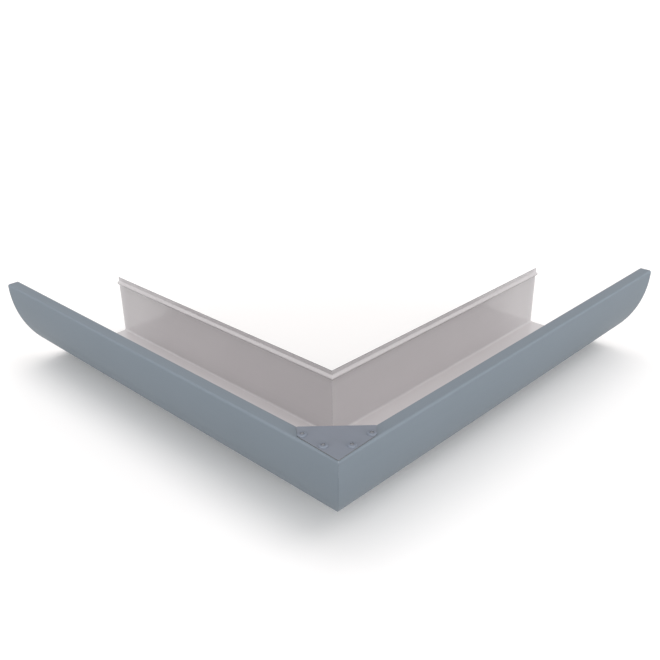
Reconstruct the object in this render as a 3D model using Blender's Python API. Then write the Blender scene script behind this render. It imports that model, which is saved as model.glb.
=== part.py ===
"""External angle for a curved-front eaves gutter, folded from prepainted steel sheet.

Two mitred gutter arms meet at a square outside corner. A clipped triangular gusset lies across
their lips and is held by four blind rivets. The left arm carries snipped lap tabs that turn the
corner inside the right arm. Metres, +Z up. The origin is under the middle of the part's box.
"""
import math

import bmesh
import bpy
from mathutils import Matrix, Vector

# Sheet, and the gap left where two pieces touch
SHEET = 0.00055
GAP = 0.0003

# Gutter section, across the channel from its back face and up from its underside
WIDTH = 0.1152
BACK_HEIGHT = 0.0595
FRONT_HEIGHT = 0.0860
CURVE_DEPTH = 0.0775
FOOT_RADIUS = 0.0020
LIP_WIDTH = 0.0105
LIP_RETURN = 0.0060
BROW_RADIUS = 0.0018
EDGE_RADIUS = 0.0010

# Stiffening rib rolled into the top of the back wall
RIB_UPSTAND = 0.0036
RIB_SHED = 0.0020
RIB_UNDERCUT = 0.0028
RIB_DEPTH = 0.0026
RIB_BEND = 0.0006

# Length of each arm along its back wall
LEG = 0.3000

# Lap tabs of the left arm, which lie inside the right arm
FRONT_TABS = 4
LAP_LENGTH = 0.0120
LAP_ROOT = 0.0015
LAP_CORNER = 0.0020
LAP_FOOT_MARGIN = 0.0030
LAP_LIP_MARGIN = 0.0140
SNIP = 0.0016

# Gusset over the lips
GUSSET_SHEET = 0.00065
GUSSET_DEPTH = 0.0385
GUSSET_LENGTH = 0.0510
GUSSET_MARGIN = 0.0003
GUSSET_INSET = 0.0020
GUSSET_CORNER = 0.0015

# Blind rivets
RIVETS_PER_ARM = 2
RIVET_FIRST = 0.0176
RIVET_END_MARGIN = 0.0040
SHANK_RADIUS = 0.0016
HEAD_RADIUS = 0.0032
HEAD_HEIGHT = 0.0011
HEAD_RIM = 0.00025
RECESS_RADIUS = 0.0014
RECESS_DEPTH = 0.0008
BULB_RADIUS = 0.0024
BULB_LENGTH = 0.0030
BULB_ROUND = 0.0010
DRILL_REACH = 0.0010

# Facets of the round forms
BEND_STEPS = 4
RIB_STEPS = 3
TAB_STEPS = 6
TOP_STEPS = 3
CORNER_STEPS = 3
DOME_STEPS = 4
TURN_STEPS = 24
SMOOTH_ANGLE = math.radians(35)

# Places worked out from the sizes above
CORNER = (WIDTH - LEG) / 2
SHOULDER = FRONT_HEIGHT - BROW_RADIUS
CURVE_START = WIDTH - CURVE_DEPTH
MITRE_SETBACK = GAP / 2 * math.sqrt(2)
RIVET_LINE = WIDTH - LIP_WIDTH / 2
HOLE_RADIUS = SHANK_RADIUS + GAP
LIP_UNDERSIDE = FRONT_HEIGHT - SHEET
GUSSET_UNDERSIDE = FRONT_HEIGHT + GAP
GUSSET_TOP = GUSSET_UNDERSIDE + GUSSET_SHEET
HEAD_UNDERSIDE = GUSSET_TOP + GAP
RIVET_LAST = (GUSSET_LENGTH / 2 - RIVET_END_MARGIN) * math.sqrt(2) + LIP_WIDTH / 2

# Finishes: linear colour, roughness and metallic value
ARM_PAINT = ((0.235, 0.270, 0.310), 0.42, 0.0)
GUSSET_PAINT = ((0.235, 0.262, 0.300), 0.45, 0.0)
RIVET_PAINT = ((0.245, 0.272, 0.310), 0.38, 0.0)


def clear_scene():
    """Start from an empty scene."""
    for old in list(bpy.data.objects):
        bpy.data.objects.remove(old, do_unlink=True)


# The folded section, drawn as the middle line of the sheet

def arc(centre, radii, start, end, steps):
    """Points on a round or elliptical bend between two angles in degrees."""
    points = []
    for k in range(steps + 1):
        turn = math.radians(start + (end - start) * k / steps)
        points.append(Vector((centre[0] + radii[0] * math.cos(turn), centre[1] + radii[1] * math.sin(turn))))
    return points


def bend(before, corner, after, radius, steps):
    """The round bend that replaces a sharp corner of the line."""
    back = (before - corner).normalized()
    ahead = (after - corner).normalized()
    half = back.angle(ahead) / 2
    centre = corner + (back + ahead).normalized() * radius / math.sin(half)
    first = corner + back * radius / math.tan(half) - centre
    last = corner + ahead * radius / math.tan(half) - centre
    start = math.degrees(math.atan2(first.y, first.x))
    sweep = math.degrees(-first.angle_signed(last))
    return arc(centre, (radius, radius), start, start + sweep, steps)


def back_wall():
    """From the back's top edge down through the upstand and the stiffening rib."""
    wall = SHEET / 2
    top = BACK_HEIGHT
    nose = top - RIB_UPSTAND - RIB_SHED
    corners = [
        Vector((wall, top)),
        Vector((wall, top - RIB_UPSTAND)),
        Vector((wall + RIB_DEPTH, nose)),
        Vector((wall, nose - RIB_UNDERCUT)),
        Vector((wall, FOOT_RADIUS + SHEET)),
    ]
    line = corners[:1]
    for before, corner, after in zip(corners, corners[1:], corners[2:]):
        line += bend(before, corner, after, RIB_BEND, RIB_STEPS)
    return line


def front_angles():
    """Angles round the curved front in degrees, and the index pairs that bound its lap tabs."""
    last = -math.degrees(math.asin((LAP_LIP_MARGIN - BROW_RADIUS) / SHOULDER))
    snip = math.degrees(2 * SNIP / (CURVE_DEPTH + SHOULDER))
    tab = (last + 90 - snip * (FRONT_TABS - 1)) / FRONT_TABS
    angles = []
    tabs = []
    for k in range(FRONT_TABS):
        start = -90 + k * (tab + snip)
        tabs.append((len(angles), len(angles) + TAB_STEPS))
        angles += [start + tab * j / TAB_STEPS for j in range(TAB_STEPS + 1)]
    angles += [last * (1 - j / TOP_STEPS) for j in range(1, TOP_STEPS + 1)]
    return angles, tabs


def middle_line():
    """The whole section from the back edge to the lip's return, and the tabs' index pairs."""
    foot = FOOT_RADIUS + SHEET
    foot_bend = FOOT_RADIUS + SHEET / 2
    line = back_wall()
    line += arc((foot, foot), (foot_bend, foot_bend), 180, 270, BEND_STEPS)
    tabs = [(len(line), len(line) + 1)]
    line += [Vector((foot + LAP_FOOT_MARGIN, SHEET / 2)), Vector((CURVE_START - SNIP, SHEET / 2))]
    angles, front_tabs = front_angles()
    tabs += [(len(line) + low, len(line) + high) for low, high in front_tabs]
    for angle in angles:
        turn = math.radians(angle)
        across = CURVE_START + (CURVE_DEPTH - SHEET / 2) * math.cos(turn)
        line.append(Vector((across, SHOULDER + (SHOULDER - SHEET / 2) * math.sin(turn))))
    brow = BROW_RADIUS - SHEET / 2
    edge = EDGE_RADIUS - SHEET / 2
    lip_edge = WIDTH - LIP_WIDTH
    line += arc((WIDTH - BROW_RADIUS, SHOULDER), (brow, brow), 0, 90, BEND_STEPS)[1:]
    line += arc((lip_edge + EDGE_RADIUS, FRONT_HEIGHT - EDGE_RADIUS), (edge, edge), 90, 180, BEND_STEPS)
    line.append(Vector((lip_edge + SHEET / 2, FRONT_HEIGHT - LIP_RETURN)))
    return line, tabs


def offset(line, distance):
    """The line moved sideways, into the channel where the distance is positive."""
    sides = []
    for start, end in zip(line, line[1:]):
        along = (end - start).normalized()
        sides.append(Vector((-along.y, along.x)))
    moved = []
    for k, point in enumerate(line):
        first = sides[max(k - 1, 0)]
        second = sides[min(k, len(sides) - 1)]
        bisector = (first + second).normalized()
        moved.append(point + bisector * distance / bisector.dot(first))
    return moved


# Placing the section along an arm: run is measured from the building's corner

def on_left_arm(across, height, run):
    """The left arm runs along +Y."""
    return Vector((-across, run, height))


def on_right_arm(across, height, run):
    """The right arm runs along +X."""
    return Vector((run, -across, height))


def mitre_run(across):
    """Where the mitre cuts an arm, at a distance across its channel."""
    return MITRE_SETBACK - across


# Meshes

def pull(bm, faces):
    """Extrude faces in place. Gives the new faces and the new corner that stands on each old one."""
    old = {vert for face in faces for vert in face.verts}
    rims = {edge for face in faces for edge in face.edges}
    made = bmesh.ops.extrude_face_region(bm, geom=[*faces, *rims])["geom"]
    fresh = {item for item in made if isinstance(item, bmesh.types.BMVert)}
    lifted = {}
    for vert in old:
        for edge in vert.link_edges:
            other = edge.other_vert(vert)
            if other in fresh and (other.co - vert.co).length == 0:
                lifted[vert] = other
    return [item for item in made if isinstance(item, bmesh.types.BMFace)], lifted


def folded_arm(line, place):
    """A mitred length of gutter. Gives the mesh and its rings of corners, cut end first."""
    outside = offset(line, -SHEET / 2)
    channel = offset(line, SHEET / 2)
    section = outside + channel[::-1]
    bm = bmesh.new()
    rings = [[bm.verts.new(place(p.x, p.y, LEG)) for p in section]]
    front = [bm.faces.new(rings[0])]
    for past in (LAP_ROOT, 0):
        front, lifted = pull(bm, front)
        rings.append([lifted[vert] for vert in rings[-1]])
        for vert, p in zip(rings[-1], section):
            vert.co = place(p.x, p.y, mitre_run(p.x) + past)
    return bm, rings


def raise_band(bm, faces, corners, line, depth):
    """Thicken part of the channel's side, up to a depth measured from the sheet's middle line."""
    level = offset(line, depth)
    faces, lifted = pull(bm, faces)
    raised = {}
    for (index, past), vert in corners.items():
        p = level[index]
        raised[index, past] = lifted[vert]
        lifted[vert].co = on_left_arm(p.x, p.y, mitre_run(p.x) + past)
    return faces, raised


def fold_tab(bm, rings, line, first, last):
    """Step one lap tab off the left arm's channel side and run it into the right arm."""
    count = len(line)
    corners = {}
    for index in range(first, last + 1):
        for past, ring in ((LAP_ROOT, rings[1]), (0, rings[2])):
            corners[index, past] = ring[2 * count - 1 - index]
    faces = []
    for index in range(first, last):
        pair = [corners[index, LAP_ROOT], corners[index + 1, LAP_ROOT]]
        faces.append(bm.faces.get(pair + [corners[index + 1, 0], corners[index, 0]]))
    faces, near = raise_band(bm, faces, corners, line, SHEET / 2 + GAP)
    faces, far = raise_band(bm, faces, near, line, SHEET * 3 / 2 + GAP)
    mouth = []
    for index in range(first, last):
        pair = [near[index, 0], near[index + 1, 0]]
        mouth.append(bm.faces.get(pair + [far[index + 1, 0], far[index, 0]]))
    mouth, lifted = pull(bm, mouth)
    for vert in lifted.values():
        vert.co.x += LAP_LENGTH
    free = []
    for index in (first, last):
        free.append(bm.edges.get((lifted[near[index, 0]], lifted[far[index, 0]])))
    bmesh.ops.bevel(bm, geom=free, offset=LAP_CORNER, segments=CORNER_STEPS, profile=0.5,
                    affect="EDGES", material=-1)


def gusset_outline():
    """Corners of the clipped triangle in plan, from its apex at the lips' outer corner."""
    outer = Vector((-WIDTH, -WIDTH))
    inward = Vector((1, 1)).normalized()
    across = Vector((1, -1)).normalized()
    edge_run = GUSSET_MARGIN + GUSSET_LENGTH / math.sqrt(2)
    middle = outer + inward * GUSSET_DEPTH
    return [
        outer + Vector((GUSSET_MARGIN, GUSSET_MARGIN)),
        outer + Vector((edge_run, GUSSET_INSET)),
        middle + across * GUSSET_LENGTH / 2,
        middle - across * GUSSET_LENGTH / 2,
        outer + Vector((GUSSET_INSET, edge_run)),
    ]


def rivet_centres():
    """Rivet centres in plan, spread between the corner and the gusset's clipped end on each lip."""
    pitch = (RIVET_LAST - RIVET_FIRST) / (RIVETS_PER_ARM - 1)
    runs = [RIVET_FIRST + pitch * k - WIDTH for k in range(RIVETS_PER_ARM)]
    return [(-RIVET_LINE, run) for run in reversed(runs)] + [(run, -RIVET_LINE) for run in runs]


def rivet_profile():
    """Half section of a set blind rivet, from the middle of its recess down to its bulb."""
    crown = HEAD_UNDERSIDE + HEAD_HEIGHT
    rim = HEAD_UNDERSIDE + HEAD_RIM
    tail = LIP_UNDERSIDE - GAP
    end = tail - BULB_LENGTH
    dome = (HEAD_RADIUS - RECESS_RADIUS, HEAD_HEIGHT - HEAD_RIM)
    profile = [Vector((0, crown - RECESS_DEPTH)), Vector((RECESS_RADIUS, crown - RECESS_DEPTH))]
    profile += arc((RECESS_RADIUS, rim), dome, 90, 0, DOME_STEPS)
    profile += [Vector((HEAD_RADIUS, HEAD_UNDERSIDE)), Vector((SHANK_RADIUS, HEAD_UNDERSIDE))]
    profile += [Vector((SHANK_RADIUS, tail))]
    inner = BULB_RADIUS - BULB_ROUND
    profile += arc((inner, tail - BULB_ROUND), (BULB_ROUND, BULB_ROUND), 90, 0, BEND_STEPS)
    profile += arc((inner, end + BULB_ROUND), (BULB_ROUND, BULB_ROUND), 0, -90, BEND_STEPS)
    profile += [Vector((0, end))]
    return profile


# Objects

def finish_material(name, finish):
    """A Principled material from a finish's colour, roughness and metallic value."""
    colour, roughness, metallic = finish
    material = bpy.data.materials.new(name)
    material.use_nodes = True
    shader = material.node_tree.nodes["Principled BSDF"]
    shader.inputs["Base Color"].default_value = (*colour, 1)
    shader.inputs["Roughness"].default_value = roughness
    shader.inputs["Metallic"].default_value = metallic
    return material


def shade(mesh):
    """Round forms shaded smooth, folds and cut edges sharp."""
    mesh.shade_smooth()
    mesh.set_sharp_from_angle(angle=SMOOTH_ANGLE)


def add_object(name, bm, finish=None):
    """Turn a finished bmesh into an object that stands at the building's corner."""
    bmesh.ops.recalc_face_normals(bm, faces=bm.faces)
    mesh = bpy.data.meshes.new(name)
    bm.to_mesh(mesh)
    bm.free()
    shade(mesh)
    made = bpy.data.objects.new(name, mesh)
    made.location = (CORNER, CORNER, 0)
    bpy.context.scene.collection.objects.link(made)
    if finish:
        mesh.materials.append(finish_material(name + "_paint", finish))
    return made


def build_drill():
    """The four rivet holes as one cutter."""
    low = LIP_UNDERSIDE - DRILL_REACH
    high = GUSSET_TOP + DRILL_REACH
    bm = bmesh.new()
    for across, along in rivet_centres():
        place = Matrix.Translation((across, along, (low + high) / 2))
        bmesh.ops.create_cone(bm, cap_ends=True, segments=TURN_STEPS, radius1=HOLE_RADIUS,
                              radius2=HOLE_RADIUS, depth=high - low, matrix=place)
    drill = add_object("rivet_hole_drill", bm)
    drill.hide_render = True
    drill.display_type = "WIRE"
    return drill


def drill_holes(target, drill):
    """Cut the rivet holes into an object's mesh and mark its sharp edges again."""
    cut = target.modifiers.new("rivet_holes", "BOOLEAN")
    cut.operation = "DIFFERENCE"
    cut.solver = "EXACT"
    cut.object = drill
    evaluated = target.evaluated_get(bpy.context.evaluated_depsgraph_get())
    target.data = bpy.data.meshes.new_from_object(evaluated)
    target.modifiers.clear()
    shade(target.data)


def build_right_arm(drill):
    """One folded sheet, mitred at the corner and square at its open end."""
    line, _ = middle_line()
    bm, _ = folded_arm(line, on_right_arm)
    drill_holes(add_object("right_gutter_arm", bm, ARM_PAINT), drill)


def build_left_arm(drill):
    """The other folded sheet, with the lap tabs on its mitred end."""
    line, tabs = middle_line()
    bm, rings = folded_arm(line, on_left_arm)
    for first, last in tabs:
        fold_tab(bm, rings, line, first, last)
    drill_holes(add_object("left_gutter_arm", bm, ARM_PAINT), drill)


def build_gusset(drill):
    """The clipped triangular plate across the lips."""
    bm = bmesh.new()
    base = bm.faces.new([bm.verts.new((p.x, p.y, GUSSET_UNDERSIDE)) for p in gusset_outline()])
    _, lifted = pull(bm, [base])
    for vert in lifted.values():
        vert.co.z = GUSSET_TOP
    upright = [bm.edges.get(pair) for pair in lifted.items()]
    bmesh.ops.bevel(bm, geom=upright, offset=GUSSET_CORNER, segments=CORNER_STEPS, profile=0.5,
                    affect="EDGES", material=-1)
    drill_holes(add_object("corner_gusset", bm, GUSSET_PAINT), drill)


def build_rivet(number, across, along):
    """A set blind rivet, turned from its half section."""
    bm = bmesh.new()
    verts = [bm.verts.new((p.x, 0, p.y)) for p in rivet_profile()]
    edges = [bm.edges.new(pair) for pair in zip(verts, verts[1:])]
    bmesh.ops.spin(bm, geom=verts + edges, cent=(0, 0, 0), axis=(0, 0, 1), angle=math.tau,
                   steps=TURN_STEPS, use_merge=True)
    bmesh.ops.remove_doubles(bm, verts=bm.verts, dist=SHEET / 100)
    bmesh.ops.translate(bm, verts=bm.verts, vec=(across, along, 0))
    add_object(f"gusset_rivet_{number}", bm, RIVET_PAINT)


def main():
    """Build the whole angle."""
    clear_scene()
    drill = build_drill()
    build_left_arm(drill)
    build_right_arm(drill)
    build_gusset(drill)
    bpy.data.objects.remove(drill, do_unlink=True)
    for number, (across, along) in enumerate(rivet_centres(), start=1):
        build_rivet(number, across, along)


main()
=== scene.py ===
"""Looks of a gutter external angle: two mitred arms of prepainted sheet and a riveted gusset.

The frame is in metres with +Z up. Its origin lies under the middle of the angle. The building's
corner is the inside corner of the back walls, the left arm runs from it along +Y and the right
arm along +X. A gutter section is drawn with x across the channel from the back face, y along the
arm from the mitre and z up, and each arm is then turned into its place.
"""
import logging
import math
from dataclasses import dataclass, field
from enum import Enum, IntEnum

import bmesh
import bpy
from mathutils import Matrix, Vector


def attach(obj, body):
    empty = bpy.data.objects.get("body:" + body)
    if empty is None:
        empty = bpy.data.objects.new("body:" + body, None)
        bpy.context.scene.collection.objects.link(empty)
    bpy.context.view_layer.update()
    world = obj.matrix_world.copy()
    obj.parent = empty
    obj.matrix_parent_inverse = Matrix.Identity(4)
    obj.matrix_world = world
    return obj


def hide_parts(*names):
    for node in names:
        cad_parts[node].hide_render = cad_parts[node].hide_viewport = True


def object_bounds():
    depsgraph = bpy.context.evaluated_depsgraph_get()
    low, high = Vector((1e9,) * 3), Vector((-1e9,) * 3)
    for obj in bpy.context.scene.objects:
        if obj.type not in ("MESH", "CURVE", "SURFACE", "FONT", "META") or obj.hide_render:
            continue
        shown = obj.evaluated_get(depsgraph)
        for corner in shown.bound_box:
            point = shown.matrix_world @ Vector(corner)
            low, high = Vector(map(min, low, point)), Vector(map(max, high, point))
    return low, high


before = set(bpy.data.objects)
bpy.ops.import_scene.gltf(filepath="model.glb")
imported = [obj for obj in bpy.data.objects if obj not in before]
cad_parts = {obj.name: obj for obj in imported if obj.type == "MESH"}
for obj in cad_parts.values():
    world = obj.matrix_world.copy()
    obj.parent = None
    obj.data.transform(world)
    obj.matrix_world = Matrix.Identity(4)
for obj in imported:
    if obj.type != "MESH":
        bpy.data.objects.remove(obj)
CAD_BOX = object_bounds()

Colour = tuple[float, float, float]
Faces = list[bmesh.types.BMFace]
Verts = list[bmesh.types.BMVert]
Spans = list[tuple[float, int]]
Socket = bpy.types.NodeSocket

LOG = logging.getLogger("gutter_angle")
BODY = "root"

# Points less than the first apart are one point. Pieces that touch stand the second apart.
TINY = 1e-6
CONTACT = 0.00002

# Edges steeper than the first shade as edges. Edges of a cut steeper than the second are rounded.
SHARP_ANGLE = math.radians(35)
CUT_ANGLE = math.radians(60)

# A face looks a given way where at least this share of its normal points that way
FACING_SHARE = 0.5

# The lips' outer corner in plan
OUTER_CORNER = Vector((CAD_BOX[0].x, CAD_BOX[0].y, 0))


class Surface(IntEnum):
    """Which face of the sheet a polygon lies on, and so its material slot."""

    OUTSIDE = 0
    CHANNEL = 1
    CUT = 2


class Arm(Enum):
    """The two arms, each with the turn from the section's axes to the frame's."""

    LEFT = ((-1, 0, 0), (0, 1, 0), (0, 0, 1))
    RIGHT = ((0, 1, 0), (-1, 0, 0), (0, 0, 1))

    def placing(self, corner: Vector) -> Matrix:
        """Matrix that moves a mesh from the section's axes to this arm at the building's corner."""
        return Matrix.Translation(corner) @ Matrix(self.value).to_4x4()


# Mesh helpers

def new_piece(name: str, bm: bmesh.types.BMesh,
              materials: list[bpy.types.Material]) -> bpy.types.Object:
    """Turn a finished bmesh into a shaded object at the origin.

    Args:
        name: Name of the new piece.
        bm: The piece's mesh, which is freed.
        materials: Materials in the order of the mesh's slots.

    Returns:
        The new object, linked to the scene.
    """
    bmesh.ops.recalc_face_normals(bm, faces=bm.faces)
    mesh = bpy.data.meshes.new(name)
    for material in materials:
        mesh.materials.append(material)
    bm.to_mesh(mesh)
    bm.free()
    mesh.shade_smooth()
    mesh.set_sharp_from_angle(angle=SHARP_ANGLE)
    piece = bpy.data.objects.new(name, mesh)
    bpy.context.scene.collection.objects.link(piece)
    return piece


def keep_flats_flat(piece: bpy.types.Object) -> None:
    """Let large flat faces rule the shading of the small bends beside them.

    Args:
        piece: The finished piece.
    """
    weigh = piece.modifiers.new("flat_faces", "WEIGHTED_NORMAL")
    weigh.keep_sharp = True


def thicken(bm: bmesh.types.BMesh, thickness: float) -> None:
    """Give a ribbon the sheet's thickness, half to each side, and mark its faces.

    Args:
        bm: The ribbon, with the floor as its lowest face. It is replaced by the sheet.
        thickness: Thickness of the sheet.
    """
    bmesh.ops.recalc_face_normals(bm, faces=bm.faces)
    floor = min(bm.faces, key=lambda face: face.calc_center_median().z)
    if floor.normal.z > 0:
        bmesh.ops.reverse_faces(bm, faces=bm.faces)
    mesh = bpy.data.meshes.new("ribbon")
    for _ in Surface:
        mesh.materials.append(None)
    bm.to_mesh(mesh)
    ribbon = bpy.data.objects.new("ribbon", mesh)
    bpy.context.scene.collection.objects.link(ribbon)
    solidify = ribbon.modifiers.new("sheet", "SOLIDIFY")
    solidify.thickness = thickness
    solidify.offset = 0
    solidify.use_even_offset = True
    solidify.material_offset = Surface.CHANNEL
    solidify.material_offset_rim = Surface.CUT
    solid = ribbon.evaluated_get(bpy.context.evaluated_depsgraph_get())
    bm.clear()
    bm.from_mesh(solid.to_mesh())
    solid.to_mesh_clear()
    bpy.data.objects.remove(ribbon)
    bpy.data.meshes.remove(mesh)


def pull(bm: bmesh.types.BMesh, faces: Faces) -> tuple[Faces, Verts]:
    """Extrude a patch of faces in place.

    Args:
        bm: The mesh.
        faces: The patch, whose own faces are used up.

    Returns:
        The patch's new faces and its new vertices.
    """
    rims = dict.fromkeys(edge for face in faces for edge in face.edges)
    made = bmesh.ops.extrude_face_region(bm, geom=[*faces, *rims])["geom"]
    new_faces = [item for item in made if isinstance(item, bmesh.types.BMFace)]
    new_verts = [item for item in made if isinstance(item, bmesh.types.BMVert)]
    return new_faces, new_verts


def soften_cut_edges(bm: bmesh.types.BMesh, width: float, steps: int) -> None:
    """Round the sheared edges of a sheet slightly.

    Args:
        bm: The sheet.
        width: Width of the rounding.
        steps: Facets of the rounding.
    """
    edges = []
    for edge in bm.edges:
        cuts = [face.material_index == Surface.CUT for face in edge.link_faces]
        if any(cuts) and edge.calc_face_angle(0) > CUT_ANGLE:
            edges.append(edge)
    bmesh.ops.bevel(bm, geom=edges, offset=width, offset_type="OFFSET", segments=steps,
                    profile=0.5, affect="EDGES", clamp_overlap=True, material=-1)


def draw_corners(bm: bmesh.types.BMesh, start: bmesh.types.BMVert | None,
                 corners: list[tuple[float, float, float, int]]) -> bmesh.types.BMVert:
    """Draw straight stretches of a section between corners, and round those that are bends.

    Args:
        bm: The mesh that takes the wire.
        start: Vertex that the wire goes on from, if any.
        corners: Across, height, bend radius and facets of each corner. Radius 0 stays sharp.

    Returns:
        The wire's last vertex.
    """
    fresh = [bm.verts.new((across, 0, height)) for across, height, _, _ in corners]
    chain = [start, *fresh] if start else fresh
    for pair in zip(chain, chain[1:]):
        bm.edges.new(pair)
    for vert, (_, _, radius, steps) in zip(fresh, corners):
        if not radius:
            continue
        one, other = [edge.other_vert(vert).co - vert.co for edge in vert.link_edges]
        reach = radius * math.tan((math.pi - one.angle(other)) / 2)
        bmesh.ops.bevel(bm, geom=[vert], offset=reach, offset_type="OFFSET", segments=steps,
                        profile=0.5, affect="VERTICES", material=-1)
    return chain[-1]


def draw_arc(bm: bmesh.types.BMesh, centre: Vector, radii: tuple[float, float], start: float,
             spans: Spans) -> tuple[bmesh.types.BMVert, bmesh.types.BMVert]:
    """Spin a round arc in a section's plane and stretch it into a quarter of an ellipse.

    Args:
        bm: The mesh that takes the wire.
        centre: The ellipse's centre.
        radii: Half-axes, across and up.
        start: Angle of the first point, where 0 points across and a quarter turn points up.
        spans: Angle and facets of each stretch.

    Returns:
        The first and the last vertex of the arc.
    """
    across, up = radii
    first = bm.verts.new(centre + across * Vector((math.cos(start), 0, math.sin(start))))
    drawn = {first}
    last = first
    for angle, steps in spans:
        before = set(bm.verts)
        spun = bmesh.ops.spin(bm, geom=[last], cent=centre, axis=(0, 1, 0), angle=-angle,
                              steps=steps)
        last = spun["geom_last"][0]
        drawn |= set(bm.verts) - before
    bmesh.ops.scale(bm, vec=(1, 1, up / across), space=Matrix.Translation(-centre),
                    verts=list(drawn))
    return first, last


# The folded section

@dataclass(frozen=True)
class Section:
    """The gutter's folded section, in metres over its outer faces, and the facets of its bends.

    The width runs from the back face to the brow. The rib is an upstand, then a shed that slopes
    out by the rib's depth to a nose, then an undercut that slopes back to the wall.
    """

    sheet: float = 0.00055
    width: float = 0.1152
    back_height: float = 0.0595
    front_height: float = 0.0860
    curve_depth: float = 0.0775
    foot_radius: float = 0.0020
    lip_width: float = 0.0105
    lip_return: float = 0.0060
    brow_radius: float = 0.0018
    edge_radius: float = 0.0010
    rib_upstand: float = 0.0036
    rib_shed: float = 0.0020
    rib_undercut: float = 0.0028
    rib_depth: float = 0.0026
    rib_bend: float = 0.0006
    rib_steps: int = 6
    foot_steps: int = 10
    brow_steps: int = 12
    edge_steps: int = 8

    @property
    def half(self) -> float:
        """Half the sheet's thickness."""
        return self.sheet / 2

    @property
    def curve_centre(self) -> Vector:
        """Centre of the elliptical front."""
        return Vector((self.width - self.curve_depth, 0, self.front_height - self.brow_radius))

    @property
    def curve_radii(self) -> tuple[float, float]:
        """Half-axes of the sheet's middle line round the front, across and up."""
        return self.curve_depth - self.half, self.curve_centre.z - self.half

    def inward(self, point: Vector) -> Vector:
        """Direction into the channel from a point on the floor or the curved front.

        Args:
            point: A point on the sheet.

        Returns:
            A unit vector in the plane of the section.
        """
        away = point - self.curve_centre
        if away.x <= 0:
            return Vector((0, 0, 1))
        across, up = self.curve_radii
        return -Vector((away.x / across**2, 0, away.z / up**2)).normalized()

    def angle_at(self, point: Vector) -> float:
        """Angle of a point round the curved front.

        Args:
            point: A point on the sheet's curve.

        Returns:
            Minus a quarter turn at the floor and zero at the brow.
        """
        across, up = self.curve_radii
        away = point - self.curve_centre
        return math.atan2(away.z / up, away.x / across)

    def draw(self, bm: bmesh.types.BMesh, floor_marks: list[float], spans: Spans) -> None:
        """Draw the sheet's middle line as one wire.

        Args:
            bm: Empty mesh that takes the wire.
            floor_marks: Distances across at which the flat floor gets a vertex.
            spans: Angle and facets of each stretch of the curved front, from the floor up.
        """
        nose = self.back_height - self.rib_upstand - self.rib_shed
        back = [(self.half, self.back_height, 0, 0),
                (self.half, self.back_height - self.rib_upstand, self.rib_bend, self.rib_steps),
                (self.half + self.rib_depth, nose, self.rib_bend, self.rib_steps),
                (self.half, nose - self.rib_undercut, self.rib_bend, self.rib_steps),
                (self.half, self.half, self.foot_radius + self.half, self.foot_steps)]
        back += [(across, self.half, 0, 0) for across in floor_marks]
        floor_end = draw_corners(bm, None, back)
        curve_foot, curve_top = draw_arc(bm, self.curve_centre, self.curve_radii, -math.pi / 2,
                                         spans)
        bm.edges.new((floor_end, curve_foot))
        top = self.front_height - self.half
        lip_edge = self.width - self.lip_width + self.half
        brow = self.brow_radius - self.half
        edge = self.edge_radius - self.half
        draw_corners(bm, curve_top, [(self.width - self.half, top, brow, self.brow_steps),
                                     (lip_edge, top, edge, self.edge_steps),
                                     (lip_edge, self.front_height - self.lip_return, 0, 0)])
        bmesh.ops.remove_doubles(bm, verts=bm.verts, dist=TINY)


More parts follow.
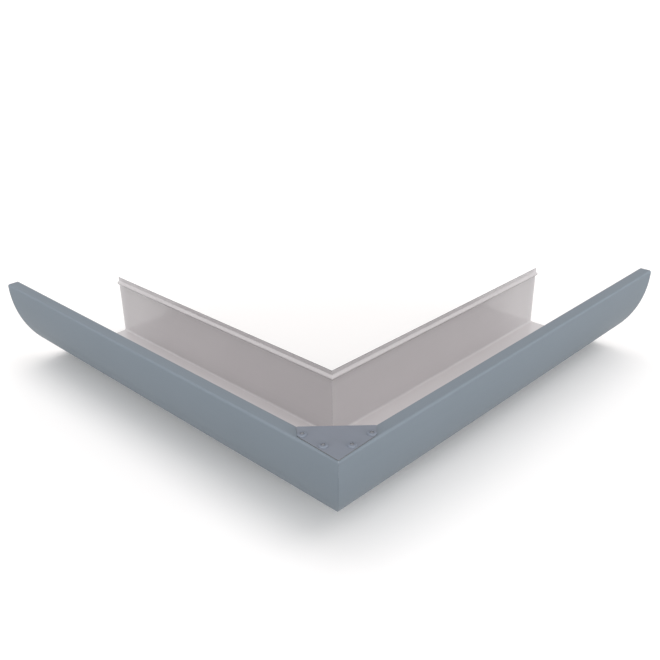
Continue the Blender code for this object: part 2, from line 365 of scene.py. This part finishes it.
@dataclass(frozen=True)
class LapTabs:
    """Snipped tabs that turn the corner from the left arm and lie inside the right arm.

    Each tab is a patch of the channel beside the mitre, as deep as the root. It steps up off the
    sheet and then runs on past the mitre for its length.
    """

    front_count: int = 4
    length: float = 0.0120
    root: float = 0.0015
    corner: float = 0.0020
    foot_margin: float = 0.0030
    lip_margin: float = 0.0140
    snip: float = 0.0016
    clearance: float = 0.0001
    front_steps: int = 14
    snip_steps: int = 2
    top_steps: int = 8
    corner_steps: int = 6

    def floor_marks(self, section: Section) -> list[float]:
        """Where the floor's tab starts and ends, across the channel."""
        foot = section.foot_radius + section.sheet
        return [foot + self.foot_margin, section.curve_centre.x - self.snip]

    def tab_angle(self, section: Section) -> tuple[float, float]:
        """Share out the curved front among its tabs.

        Args:
            section: The section that carries them.

        Returns:
            The angle of each tab round the curve, and of each snip between two tabs.
        """
        shoulder = section.curve_centre.z
        top = math.asin((self.lip_margin - section.brow_radius) / shoulder)
        snip = 2 * self.snip / (section.curve_depth + shoulder)
        return (math.pi / 2 - top - snip * (self.front_count - 1)) / self.front_count, snip

    def spans(self, section: Section) -> Spans:
        """List the stretches of the curved front.

        Args:
            section: The section that carries the tabs.

        Returns:
            Angle and facets of the tabs with the snips between them, then of the plain top.
        """
        tab, snip = self.tab_angle(section)
        stretches = [(tab, self.front_steps), (snip, self.snip_steps)] * self.front_count
        used = sum(angle for angle, _ in stretches[:-1])
        return stretches[:-1] + [(math.pi / 2 - used, self.top_steps)]

    def patches(self, bm: bmesh.types.BMesh, section: Section) -> list[Faces]:
        """Find the channel's faces beside the mitre that each tab grows from.

        Args:
            bm: The thickened sheet, not yet mitred.
            section: The section it was drawn from.

        Returns:
            One list of faces for each tab.
        """
        tab, snip = self.tab_angle(section)
        low, high = self.floor_marks(section)
        found = [[] for _ in range(self.front_count + 1)]
        for face in bm.faces:
            middle = face.calc_center_median()
            if face.material_index != Surface.CHANNEL or middle.y > self.root:
                continue
            if low < middle.x < high and middle.z < section.foot_radius:
                found[0].append(face)
            elif middle.x > section.curve_centre.x and middle.z < section.curve_centre.z:
                turned = section.angle_at(middle) + math.pi / 2
                number = int(turned // (tab + snip))
                if number < self.front_count and turned % (tab + snip) < tab:
                    found[number + 1].append(face)
        return found

    def raise_patch(self, bm: bmesh.types.BMesh, section: Section, faces: Faces,
                    height: float) -> tuple[Faces, Verts]:
        """Thicken a patch of the channel's side.

        Args:
            bm: The mesh.
            section: The section it was drawn from.
            faces: The patch.
            height: How far it rises into the channel.

        Returns:
            The patch's new faces and new vertices.
        """
        faces, verts = pull(bm, faces)
        for vert in verts:
            vert.co += section.inward(vert.co) * height
        return faces, verts

    def step_up(self, bm: bmesh.types.BMesh, section: Section) -> list[Faces]:
        """Step each tab's root off the sheet by the lap's clearance and one sheet.

        Args:
            bm: The thickened sheet, not yet mitred.
            section: The section it was drawn from.

        Returns:
            For each tab, the faces of its root that lie in the mitre's plane.
        """
        mouths = []
        for faces in self.patches(bm, section):
            faces, near = self.raise_patch(bm, section, faces, self.clearance)
            faces, far = self.raise_patch(bm, section, faces, section.sheet)
            layer = {vert for vert in near + far if vert.co.y < TINY}
            mouths.append([face for face in bm.faces if all(vert in layer for vert in face.verts)])
        return mouths

    def fold_out(self, bm: bmesh.types.BMesh, section: Section, mouth: Faces) -> None:
        """Run one tab out of the mitre's plane into the right arm and round its free corners.

        Args:
            bm: The mitred sheet.
            section: The section it was drawn from.
            mouth: The tab's faces in the mitre's plane.
        """
        pulled, verts = pull(bm, mouth)
        bmesh.ops.translate(bm, verts=verts, vec=(-self.length, 0, 0))
        ends = set(pulled)
        moved = set(verts)
        for face in {face for vert in verts for face in vert.link_faces}:
            face.normal_update()
            middle = face.calc_center_median()
            inward = section.inward(Vector((-middle.y, 0, middle.z)))
            facing = face.normal.dot(Vector((0, -inward.x, inward.z)))
            if face in ends or abs(facing) < FACING_SHARE:
                face.material_index = Surface.CUT
            elif facing > 0:
                face.material_index = Surface.CHANNEL
            else:
                face.material_index = Surface.OUTSIDE
        slack = section.sheet / 10
        rungs = [edge for edge in bm.edges
                 if sum(face in ends for face in edge.link_faces) == 1
                 and abs(edge.calc_length() - section.sheet) < slack
                 and set(edge.verts) <= moved]
        bmesh.ops.bevel(bm, geom=rungs, offset=self.corner, segments=self.corner_steps, profile=0.5,
                        affect="EDGES", material=-1)


@dataclass
class GutterArm:
    """One arm: a folded sheet, mitred at the corner and square at its open end.

    The length is the back wall's. The seam is the gap between the two mitred ends, and the
    softness is the width of the rounding along the cut edges.
    """

    arm: Arm
    name: str
    node: str
    slot: str
    materials: list[bpy.types.Material]
    section: Section = field(default_factory=Section)
    tabs: LapTabs = field(default_factory=LapTabs)
    has_tabs: bool = False
    length: float = 0.3000
    seam: float = 0.00004
    softness: float = 0.00006
    soft_steps: int = 3

    def build(self, drill: bpy.types.Object) -> bpy.types.Object:
        """Fold the sheet, mitre it, drill its lip and put it in place.

        Args:
            drill: Cutter of the rivet holes.

        Returns:
            The finished piece.
        """
        bm = bmesh.new()
        self.section.draw(bm, self.tabs.floor_marks(self.section),
                          self.tabs.spans(self.section))
        line = list(bm.edges)
        for stretch in (self.tabs.root, self.length - self.tabs.root):
            made = bmesh.ops.extrude_edge_only(bm, edges=line)["geom"]
            line = [item for item in made if isinstance(item, bmesh.types.BMEdge)]
            verts = [item for item in made if isinstance(item, bmesh.types.BMVert)]
            bmesh.ops.translate(bm, verts=verts, vec=(0, stretch, 0))
        thicken(bm, self.section.sheet)
        mouths = self.tabs.step_up(bm, self.section) if self.has_tabs else []
        self.cut_mitre(bm)
        for mouth in mouths:
            self.tabs.fold_out(bm, self.section, mouth)
        soften_cut_edges(bm, self.softness, self.soft_steps)
        corner = OUTER_CORNER + Vector((self.section.width, self.section.width, 0))
        bmesh.ops.transform(bm, matrix=self.arm.placing(corner), verts=bm.verts)
        piece = new_piece(self.name, bm, self.materials)
        drill_holes(piece, drill)
        keep_flats_flat(piece)
        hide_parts(self.node)
        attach(piece, BODY)
        return piece

    def cut_mitre(self, bm: bmesh.types.BMesh) -> None:
        """Slant the mitre's end so that each point's run falls with its distance across.

        Args:
            bm: The thickened sheet.
        """
        slant = Matrix.Identity(4)
        slant[1][0] = -1
        slant[1][3] = self.seam / 2 * math.sqrt(2)
        near_mitre = [vert for vert in bm.verts if vert.co.y < self.length / 2]
        bmesh.ops.transform(bm, matrix=slant, verts=near_mitre)


# Gusset and rivets

@dataclass(frozen=True)
class RivetPattern:
    """Where the blind rivets stand on the lips, from the outer corner, and their holes.

    The reach is how far the drill runs past both faces of what it cuts.
    """

    section: Section = field(default_factory=Section)
    per_arm: int = 2
    first: float = 0.0176
    last: float = 0.03566
    hole_radius: float = 0.0018
    hole_steps: int = 48
    reach: float = 0.0010

    def centres(self) -> list[Vector]:
        """Place the rivets in plan.

        Returns:
            Their centres, from the far one on the left lip round to the far one on the right.
        """
        pitch = (self.last - self.first) / (self.per_arm - 1)
        runs = [self.first + pitch * k for k in range(self.per_arm)]
        inset = self.section.lip_width / 2
        left = [OUTER_CORNER + Vector((inset, run, 0)) for run in reversed(runs)]
        return left + [OUTER_CORNER + Vector((run, inset, 0)) for run in runs]

    def build_drill(self, high: float, material: bpy.types.Material) -> bpy.types.Object:
        """Make the cutter of the rivet holes.

        Args:
            high: Top of what is drilled.
            material: Finish of the holes' walls.

        Returns:
            The cutter, which is deleted once the holes are cut.
        """
        low = self.section.front_height - self.section.sheet
        bm = bmesh.new()
        for centre in self.centres():
            place = Matrix.Translation(centre + Vector((0, 0, (low + high) / 2)))
            bmesh.ops.create_cone(bm, cap_ends=True, segments=self.hole_steps,
                                  radius1=self.hole_radius, radius2=self.hole_radius,
                                  depth=high - low + 2 * self.reach, matrix=place)
        return new_piece("rivet_drill", bm, [material])


def drill_holes(piece: bpy.types.Object, drill: bpy.types.Object) -> None:
    """Cut the rivet holes into a piece's mesh.

    Args:
        piece: The piece, whose mesh is replaced by the drilled one.
        drill: The cutter.
    """
    cut = piece.modifiers.new("rivet_holes", "BOOLEAN")
    cut.operation = "DIFFERENCE"
    cut.solver = "EXACT"
    cut.material_mode = "TRANSFER"
    cut.object = drill
    solid = piece.evaluated_get(bpy.context.evaluated_depsgraph_get())
    drilled = bpy.data.meshes.new_from_object(solid)
    drilled.name = piece.name
    piece.data = drilled
    piece.modifiers.clear()
    drilled.shade_smooth()
    drilled.set_sharp_from_angle(angle=SHARP_ANGLE)


@dataclass
class Gusset:
    """The clipped triangle of sheet that lies across the two lips.

    Its depth runs from the outer corner to the clipped edge, which has the given length. The
    margin and the inset set its outer edges back from the brows, at the apex and at the ends.
    """

    name: str
    node: str
    slot: str
    materials: list[bpy.types.Material]
    seat: float
    sheet: float = 0.00065
    depth: float = 0.0385
    length: float = 0.0510
    margin: float = 0.0003
    inset: float = 0.0020
    corner: float = 0.0015
    corner_steps: int = 8
    softness: float = 0.00008
    soft_steps: int = 3

    def outline(self) -> list[Vector]:
        """Lay out the plate in plan.

        Returns:
            Its corners, from the apex at the lips' outer corner.
        """
        inward = Vector((1, 1, 0)).normalized()
        across = Vector((1, -1, 0)).normalized()
        edge_run = self.margin + self.length / math.sqrt(2)
        middle = OUTER_CORNER + inward * self.depth
        return [OUTER_CORNER + Vector((self.margin, self.margin, 0)),
                OUTER_CORNER + Vector((edge_run, self.inset, 0)),
                middle + across * self.length / 2,
                middle - across * self.length / 2,
                OUTER_CORNER + Vector((self.inset, edge_run, 0))]

    def build(self, drill: bpy.types.Object) -> bpy.types.Object:
        """Cut the plate, round its corners and edges, and drill it.

        Args:
            drill: Cutter of the rivet holes.

        Returns:
            The finished piece.
        """
        seat = Vector((0, 0, self.seat))
        bm = bmesh.new()
        bm.faces.new([bm.verts.new(point + seat) for point in self.outline()])
        bmesh.ops.bevel(bm, geom=list(bm.verts), offset=self.corner, segments=self.corner_steps,
                        profile=0.5, affect="VERTICES", material=-1)
        plate = bm.faces[:][0]
        made = bmesh.ops.extrude_face_region(bm, geom=[plate, *plate.edges])["geom"]
        bmesh.ops.translate(bm, vec=(0, 0, self.sheet),
                            verts=[item for item in made if isinstance(item, bmesh.types.BMVert)])
        bmesh.ops.recalc_face_normals(bm, faces=bm.faces)
        for face in bm.faces:
            if abs(face.normal.z) < FACING_SHARE:
                face.material_index = Surface.CUT
            else:
                face.material_index = Surface.OUTSIDE if face.normal.z > 0 else Surface.CHANNEL
        soften_cut_edges(bm, self.softness, self.soft_steps)
        # Painted shade: every rounded edge face takes the dark cut finish, also where the paint
        # wraps over the top, so a dark line runs along the plate's edges.
        bm.normal_update()
        for face in bm.faces:
            if abs(face.normal.z) < 1 - TINY:
                face.material_index = Surface.CUT
        piece = new_piece(self.name, bm, self.materials)
        drill_holes(piece, drill)
        keep_flats_flat(piece)
        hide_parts(self.node)
        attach(piece, BODY)
        return piece


class RivetPart(IntEnum):
    """The finishes of a set rivet, and so its material slots."""

    DOME = 0
    MANDREL = 1
    SHANK = 2


@dataclass
class BlindRivet:
    """A set blind rivet: painted dome, broken mandrel in its recess, shank and bulb."""

    node: str
    slot: str
    materials: list[bpy.types.Material]
    shank_radius: float = 0.0016
    head_radius: float = 0.0032
    head_height: float = 0.0011
    head_rim: float = 0.00025
    recess_radius: float = 0.0014
    recess_depth: float = 0.0008
    recess_bend: float = 0.00015
    mandrel_radius: float = 0.0010
    mandrel_rise: float = 0.0005
    mandrel_bend: float = 0.0001
    bulb_radius: float = 0.0024
    bulb_length: float = 0.0030
    bulb_round: float = 0.0010
    turn_steps: int = 64
    dome_steps: int = 14
    small_steps: int = 4
    bulb_steps: int = 8

    def build(self, name: str, centre: Vector, seat: float, tail: float) -> bpy.types.Object:
        """Draw the half section, spin it and mark its finishes.

        Args:
            name: Name of the new piece.
            centre: The rivet's axis, in plan.
            seat: Height that the head sits at.
            tail: Height that the bulb is drawn up to.

        Returns:
            The finished piece.
        """
        crown = seat + self.head_height
        rim = seat + self.head_rim
        floor = crown - self.recess_depth
        bm = bmesh.new()
        dome = (self.head_radius - self.recess_radius - self.recess_bend,
                self.head_height - self.head_rim)
        dome_centre = Vector((self.head_radius - dome[0], 0, rim))
        outer, inner = draw_arc(bm, dome_centre, dome, 0, [(math.pi / 2, self.dome_steps)])
        draw_corners(bm, inner, [(self.recess_radius, crown, self.recess_bend, self.small_steps),
                                 (self.recess_radius, floor, 0, 0),
                                 (self.mandrel_radius, floor, 0, 0),
                                 (self.mandrel_radius, floor + self.mandrel_rise, self.mandrel_bend,
                                  self.small_steps),
                                 (0, floor + self.mandrel_rise, 0, 0)])
        draw_corners(bm, outer, [(self.head_radius, seat, 0, 0),
                                 (self.shank_radius, seat, 0, 0),
                                 (self.shank_radius, tail, 0, 0),
                                 (self.bulb_radius, tail, self.bulb_round / 2, self.bulb_steps),
                                 (self.bulb_radius, tail - self.bulb_length, self.bulb_round,
                                  self.bulb_steps),
                                 (0, tail - self.bulb_length, 0, 0)])
        bmesh.ops.spin(bm, geom=[*bm.verts, *bm.edges], cent=(0, 0, 0), axis=(0, 0, 1),
                       angle=math.tau, steps=self.turn_steps, use_merge=True)
        bmesh.ops.remove_doubles(bm, verts=bm.verts, dist=TINY)
        for face in bm.faces:
            middle = face.calc_center_median()
            across = math.hypot(middle.x, middle.y)
            if middle.z > seat + TINY and across > self.recess_radius - TINY:
                face.material_index = RivetPart.DOME
            elif middle.z > floor - TINY and across < self.recess_radius:
                face.material_index = RivetPart.MANDREL
            else:
                face.material_index = RivetPart.SHANK
        bmesh.ops.translate(bm, verts=bm.verts, vec=centre)
        piece = new_piece(name, bm, self.materials)
        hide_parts(self.node)
        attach(piece, BODY)
        return piece


# Finishes

# Colour sockets of a Mix node
MIX_FIRST, MIX_SECOND, MIX_RESULT = 6, 7, 2

# What the coat's unevenness is mixed from, and how far the roller marks stand in its relief
PATCH_SHARE, ROLL_SHARE, ROLL_HEIGHT = 0.7, 0.3, 0.4


@dataclass
class Wiring:
    """Adds and joins the nodes of one tree."""

    tree: bpy.types.NodeTree

    def add(self, kind: str, **settings: object) -> bpy.types.Node:
        """Add a node and set its properties.

        Args:
            kind: The node's type.
            settings: Properties of the node, by name.

        Returns:
            The new node.
        """
        node = self.tree.nodes.new(kind)
        for name, value in settings.items():
            setattr(node, name, value)
        return node

    def feed(self, node: bpy.types.Node, **inputs: object) -> bpy.types.Node:
        """Set or link inputs, named with underscores for spaces.

        Args:
            node: The node whose inputs are fed.
            inputs: A socket to link from, or a plain value, by the input's name.

        Returns:
            The same node.
        """
        for name, value in inputs.items():
            target = node.inputs[name.replace("_", " ")]
            if isinstance(value, Socket):
                self.tree.links.new(value, target)
            else:
                target.default_value = value
        return node

    def noise(self, vector: Socket, scale: float, detail: float) -> Socket:
        """Noise value over a vector.

        Args:
            vector: Coordinates in metres.
            scale: Cells in each metre.
            detail: Finer layers of the noise.

        Returns:
            The value's socket.
        """
        node = self.feed(self.add("ShaderNodeTexNoise"), Vector=vector, Scale=scale,
                         Detail=detail)
        return node.outputs["Fac"]

    def stretched(self, vector: Socket, scale: tuple[float, float, float]) -> Socket:
        """Coordinates stretched along their axes."""
        node = self.feed(self.add("ShaderNodeMapping"), Vector=vector, Scale=scale)
        return node.outputs["Vector"]

    def ranged(self, value: Socket, low: float, high: float,
               start: float = 0.3, end: float = 0.7) -> Socket:
        """Map a value from one range, by default that of a noise, onto another.

        Args:
            value: The value.
            low: Result at the start.
            high: Result at the end.
            start: Where the value's range starts.
            end: Where the value's range ends.

        Returns:
            The result's socket.
        """
        node = self.feed(self.add("ShaderNodeMapRange"), Value=value, From_Min=start, From_Max=end,
                         To_Min=low, To_Max=high)
        return node.outputs["Result"]

    def blend(self, mask: Socket, first: Colour, second: Colour) -> Socket:
        """Mix two colours by a mask.

        Args:
            mask: The mask.
            first: Colour where the mask is zero.
            second: Colour where the mask is one.

        Returns:
            The mixed colour's socket.
        """
        node = self.feed(self.add("ShaderNodeMix", data_type="RGBA"), Factor=mask)
        node.inputs[MIX_FIRST].default_value = (*first, 1)
        node.inputs[MIX_SECOND].default_value = (*second, 1)
        return node.outputs[MIX_RESULT]

    def maths(self, operation: str, first: Socket | float, second: Socket | float) -> Socket:
        """Combine two values by one operation.

        Args:
            operation: The Math node's operation.
            first: A socket or a plain value.
            second: A socket or a plain value.

        Returns:
            The result's socket.
        """
        node = self.add("ShaderNodeMath", operation=operation)
        for target, value in zip(node.inputs, (first, second)):
            if isinstance(value, Socket):
                self.tree.links.new(value, target)
            else:
                target.default_value = value
        return node.outputs[0]


def new_group(name: str, outputs: list[str]) -> tuple[Wiring, bpy.types.Node, bpy.types.Node]:
    """Start a node group that takes coordinates and gives values.

    Args:
        name: Name of the group.
        outputs: Names of its values.

    Returns:
        The group's wiring, its input node and its output node.
    """
    tree = bpy.data.node_groups.new(name, "ShaderNodeTree")
    tree.interface.new_socket("Vector", in_out="INPUT", socket_type="NodeSocketVector")
    for output in outputs:
        tree.interface.new_socket(output, in_out="OUTPUT", socket_type="NodeSocketFloat")
    wiring = Wiring(tree)
    return wiring, wiring.add("NodeGroupInput"), wiring.add("NodeGroupOutput")


def coil_coat_group() -> bpy.types.NodeTree:
    """Unevenness of a roller-coated sheet whose coil ran along Y.

    Returns:
        A group with the values Mottle, Grain and Height.
    """
    wiring, given, result = new_group("coil_coat", ["Mottle", "Grain", "Height"])
    vector = given.outputs["Vector"]
    patches = wiring.noise(vector, scale=14, detail=3)
    roll = wiring.noise(wiring.stretched(vector, (420, 3, 420)), scale=1, detail=2)
    mottle = wiring.maths("ADD", wiring.maths("MULTIPLY", patches, PATCH_SHARE),
                          wiring.maths("MULTIPLY", roll, ROLL_SHARE))
    speck = wiring.noise(vector, scale=2600, detail=2)
    peel = wiring.noise(vector, scale=780, detail=1)
    height = wiring.maths("ADD", peel, wiring.maths("MULTIPLY", roll, ROLL_HEIGHT))
    wiring.feed(result, Mottle=mottle, Grain=speck, Height=height)
    return wiring.tree


def sheared_edge_group() -> bpy.types.NodeTree:
    """Burnished streaks down the cut edge of a sheet.

    Returns:
        A group with the values Mottle, Grain and Height.
    """
    wiring, given, result = new_group("sheared_edge", ["Mottle", "Grain", "Height"])
    vector = given.outputs["Vector"]
    burnish = wiring.noise(vector, scale=900, detail=2)
    streaks = wiring.noise(wiring.stretched(vector, (5200, 5200, 700)), scale=1, detail=2)
    wiring.feed(result, Mottle=burnish, Grain=streaks, Height=streaks)
    return wiring.tree


@dataclass(frozen=True)
class Finish:
    """One finish: two near colours, a range of roughness and a fine relief.

    The relief is the bump's strength and the depth its height in metres. The turn lines the
    coil's direction up with the arm.
    """

    name: str
    dark: Colour
    light: Colour
    smooth: float
    rough: float
    relief: float
    depth: float
    metallic: float = 0.0
    specular: float = 0.5
    turn: float = 0.0

    def build(self, effect: bpy.types.NodeTree) -> bpy.types.Material:
        """Make the finish's material.

        Args:
            effect: Group that gives the finish's unevenness.

        Returns:
            The material.
        """
        material = bpy.data.materials.new(self.name)
        material.use_nodes = True
        material.node_tree.nodes.clear()
        wiring = Wiring(material.node_tree)
        coordinates = wiring.add("ShaderNodeTexCoord").outputs["Object"]
        mapping = wiring.feed(wiring.add("ShaderNodeMapping"), Vector=coordinates,
                              Rotation=(0, 0, self.turn))
        group = wiring.add("ShaderNodeGroup", node_tree=effect)
        wiring.feed(group, Vector=mapping.outputs["Vector"])
        colour = wiring.blend(wiring.ranged(group.outputs["Mottle"], 0, 1), self.dark,
                              self.light)
        roughness = wiring.ranged(group.outputs["Grain"], self.smooth, self.rough)
        bump = wiring.feed(wiring.add("ShaderNodeBump"), Strength=self.relief,
                           Distance=self.depth, Height=group.outputs["Height"])
        shader = wiring.add("ShaderNodeBsdfPrincipled")
        wiring.feed(shader, Base_Color=colour, Roughness=roughness, Metallic=self.metallic,
                    Specular_IOR_Level=self.specular, Normal=bump.outputs["Normal"])
        output = wiring.add("ShaderNodeOutputMaterial")
        wiring.feed(output, Surface=shader.outputs["BSDF"])
        return material


QUARTER_TURN = math.pi / 2

# The blue-grey paint of the outside and the glossier warm grey backing coat of the channel
COAT = dict(dark=(0.192, 0.225, 0.258), light=(0.200, 0.234, 0.269), smooth=0.40, rough=0.50,
            relief=0.10, depth=0.00004, specular=0.08)
BACKING = dict(dark=(0.632, 0.613, 0.622), light=(0.658, 0.638, 0.648), smooth=0.12, rough=0.19,
               relief=0.10, depth=0.00004, specular=1.00)
OUTSIDE_LEFT = Finish("left_outside_coat", **COAT)
OUTSIDE_RIGHT = Finish("right_outside_coat", turn=QUARTER_TURN, **COAT)
CHANNEL_LEFT = Finish("left_backing_coat", **BACKING)
CHANNEL_RIGHT = Finish("right_backing_coat", turn=QUARTER_TURN, **BACKING)
# Cut edges: partly the bare steel of the cut and partly painted shade. The finish is kept dark so
# the edges read as the shadow line in the gap under the gusset and catch no highlight.
SHEARED_AND_SHADE = Finish("sheared_steel_and_painted_shade", dark=(0.120, 0.125, 0.135), light=(0.185, 0.190, 0.200),
                 smooth=0.65, rough=0.80, relief=0.30, depth=0.00005, metallic=0.3,
                 specular=0.20)
GUSSET_COAT = Finish("gusset_coat", dark=(0.203, 0.224, 0.263), light=(0.212, 0.234, 0.275),
                     smooth=0.44, rough=0.54, relief=0.10, depth=0.00004, specular=0.06)
GUSSET_BACKING = Finish("gusset_backing", **BACKING)
# The rivet heads carry the gusset's paint, kept darker here: painted shade that tones down the lit
# rims and crescents of the domes.
SHADED_DOME_COAT = Finish("rivet_coat_painted_shade", dark=(0.181, 0.202, 0.241), light=(0.192, 0.214, 0.254),
                   smooth=0.48, rough=0.60, relief=0.10, depth=0.00003, specular=0.04)
MANDREL_STEEL = Finish("mandrel_steel", dark=(0.205, 0.215, 0.240), light=(0.265, 0.276, 0.302),
                       smooth=0.40, rough=0.60, relief=0.50, depth=0.00010, metallic=0.2)
RIVET_METAL = Finish("rivet_metal", dark=(0.60, 0.61, 0.62), light=(0.72, 0.73, 0.74),
                     smooth=0.30, rough=0.45, relief=0.20, depth=0.00004, metallic=1.0)


# Floor, light and camera

PLAIN_WHITE = (1.0, 1.0, 1.0)
TOP_WHITE = (1.0, 0.965, 0.955)
WARM_WHITE = (1.0, 0.96, 0.95)
COOL_WHITE = (0.98, 1.0, 1.0)


@dataclass(frozen=True)
class Lamp:
    """A far, soft lamp: which way it stands, how strong it is and how many degrees wide."""

    name: str
    towards: tuple[float, float, float]
    strength: float
    width: float
    colour: Colour

    def build(self) -> bpy.types.Object:
        """Hang the lamp so that it shines on the part.

        Returns:
            The lamp, linked to the scene.
        """
        data = bpy.data.lights.new(self.name, "SUN")
        data.energy = self.strength
        data.color = self.colour
        data.angle = math.radians(self.width)
        lamp = bpy.data.objects.new(self.name, data)
        lamp.location = self.towards
        lamp.rotation_euler = lamp.location.to_track_quat("Z", "Y").to_euler()
        bpy.context.scene.collection.objects.link(lamp)
        return lamp


def seen_rays(wiring: Wiring) -> Socket:
    """One for rays that see, mirror or look through to the backdrop, and zero for its light.

    Args:
        wiring: The wiring of the backdrop's or the sky's own tree.

    Returns:
        The value's socket.
    """
    rays = wiring.add("ShaderNodeLightPath").outputs
    seen = wiring.maths("MAXIMUM", rays["Is Camera Ray"], rays["Is Glossy Ray"])
    return wiring.maths("MAXIMUM", seen, rays["Is Transmission Ray"])


@dataclass(frozen=True)
class Studio:
    """A white floor under a white sky, the camera, and soft lamps.

    The lamps stand above, low in front of each arm's curved side and low off each open end. The
    floor and the sky look white, and each throws less light back at the part than it shows.
    """

    lens: float = 43.843
    shift: tuple[float, float] = (0.03353, 0.01515)
    camera_place: tuple[float, float, float] = (-0.49191, -0.47679, 0.35503)
    yaw: float = math.radians(45.77)
    pitch: float = math.radians(25.848)
    roll: float = math.radians(-1.521)
    near_clip: float = 0.01
    floor_half: float = 60.0
    floor_white: Colour = (0.980, 0.980, 0.978)
    floor_bounce: Colour = (0.22, 0.22, 0.22)
    floor_glow: float = 0.08
    sky: float = 0.62
    sky_tint: Colour = (1.0, 0.982, 0.978)
    lamps: tuple[Lamp, ...] = (
        Lamp("top_lamp", (-0.04, 0.06, 0.99), 0.46, 36, TOP_WHITE),
        Lamp("front_lamp", (-0.44, -0.37, 0.82), 0.18, 30, WARM_WHITE),
        Lamp("high_right_lamp", (0.00, -0.50, 0.87), 0.54, 30, WARM_WHITE),
        Lamp("low_left_lamp", (-0.99, -0.02, 0.10), 1.62, 14, COOL_WHITE),
        Lamp("low_right_lamp", (-0.02, -0.99, 0.10), 1.66, 14, COOL_WHITE),
        Lamp("left_end_lamp", (-0.90, 0.42, 0.14), 0.30, 24, COOL_WHITE),
        Lamp("right_end_lamp", (0.42, -0.90, 0.14), 0.44, 24, COOL_WHITE),
    )

    def build(self) -> None:
        """Put the floor, sky, lamps and camera into the scene."""
        self.lay_floor()
        self.hang_sky()
        for lamp in self.lamps:
            lamp.build()
        self.aim_camera()

    def lay_floor(self) -> None:
        """Lay the white floor just under the part."""
        bm = bmesh.new()
        bmesh.ops.create_grid(bm, x_segments=1, y_segments=1, size=self.floor_half)
        material = bpy.data.materials.new("studio_floor")
        material.use_nodes = True
        wiring = Wiring(material.node_tree)
        seen = seen_rays(wiring)
        wiring.feed(material.node_tree.nodes["Principled BSDF"],
                    Base_Color=wiring.blend(seen, self.floor_bounce, self.floor_white),
                    Roughness=1.0, Specular_IOR_Level=0.0, Emission_Color=(*PLAIN_WHITE, 1),
                    Emission_Strength=wiring.ranged(seen, 0, self.floor_glow, 0, 1))
        floor = new_piece("studio_floor", bm, [material])
        floor.location.z = CAD_BOX[0].z - CONTACT

    def hang_sky(self) -> None:
        """Hang an even sky, which is plain white where it is seen, mirrored or looked through."""
        world = bpy.data.worlds.new("studio_sky")
        world.use_nodes = True
        wiring = Wiring(world.node_tree)
        seen = seen_rays(wiring)
        strength = wiring.ranged(seen, self.sky, 1, 0, 1)
        wiring.feed(world.node_tree.nodes["Background"], Strength=strength,
                    Color=wiring.blend(seen, self.sky_tint, PLAIN_WHITE))
        bpy.context.scene.world = world

    def aim_camera(self) -> None:
        """Set the camera where the photograph was taken from, turned by yaw, pitch and roll."""
        flat = Vector((math.cos(self.yaw), math.sin(self.yaw), 0))
        ahead = flat * math.cos(self.pitch) - Vector((0, 0, math.sin(self.pitch)))
        right = Vector((flat.y, -flat.x, 0))
        up = right.cross(ahead)
        turned_right = right * math.cos(self.roll) + up * math.sin(self.roll)
        turned_up = up * math.cos(self.roll) - right * math.sin(self.roll)
        lens = bpy.data.cameras.new("photo_camera")
        lens.lens = self.lens
        lens.shift_x, lens.shift_y = self.shift
        lens.clip_start = self.near_clip
        camera = bpy.data.objects.new("photo_camera", lens)
        turn = Matrix((turned_right, turned_up, -ahead)).transposed().to_4x4()
        camera.matrix_world = Matrix.Translation(self.camera_place) @ turn
        bpy.context.scene.collection.objects.link(camera)
        bpy.context.scene.camera = camera


# The whole object

def build_angle() -> list[bpy.types.Object]:
    """Build the arms, the gusset and the rivets.

    Returns:
        The pieces, in the order they are put together.
    """
    coat = coil_coat_group()
    shear = sheared_edge_group()
    sheared = SHEARED_AND_SHADE.build(shear)
    section = Section()
    pattern = RivetPattern(section)
    lip_top = section.front_height + CONTACT
    left = GutterArm(Arm.LEFT, "left_arm_sheet", "left_gutter_arm", "gutter_paint",
                     [OUTSIDE_LEFT.build(coat), CHANNEL_LEFT.build(coat), sheared], section,
                     has_tabs=True)
    right = GutterArm(Arm.RIGHT, "right_arm_sheet", "right_gutter_arm", "gutter_paint",
                      [OUTSIDE_RIGHT.build(coat), CHANNEL_RIGHT.build(coat), sheared], section)
    gusset = Gusset("gusset_plate", "corner_gusset", "gusset_paint",
                    [GUSSET_COAT.build(coat), GUSSET_BACKING.build(coat), sheared], lip_top)
    gusset_top = lip_top + gusset.sheet
    drill = pattern.build_drill(gusset_top, sheared)
    pieces = [part.build(drill) for part in (left, right, gusset)]
    bpy.data.objects.remove(drill)
    metals = [SHADED_DOME_COAT.build(coat), MANDREL_STEEL.build(shear), RIVET_METAL.build(shear)]
    head_seat = gusset_top + CONTACT
    bulb_top = section.front_height - section.sheet - CONTACT
    for number, centre in enumerate(pattern.centres(), start=1):
        rivet = BlindRivet(f"gusset_rivet_{number}", "rivet_paint", metals)
        pieces.append(rivet.build(f"blind_rivet_{number}", centre, head_seat, bulb_top))
    return pieces


def main() -> None:
    """Build the object and the studio."""
    logging.basicConfig(level=logging.INFO, format="%(name)s: %(message)s")
    for piece in build_angle():
        LOG.info("%s: %d faces", piece.name, len(piece.data.polygons))
    Studio().build()
    bpy.context.scene.view_settings.view_transform = "Standard"


if __name__ == "__main__":
    main()
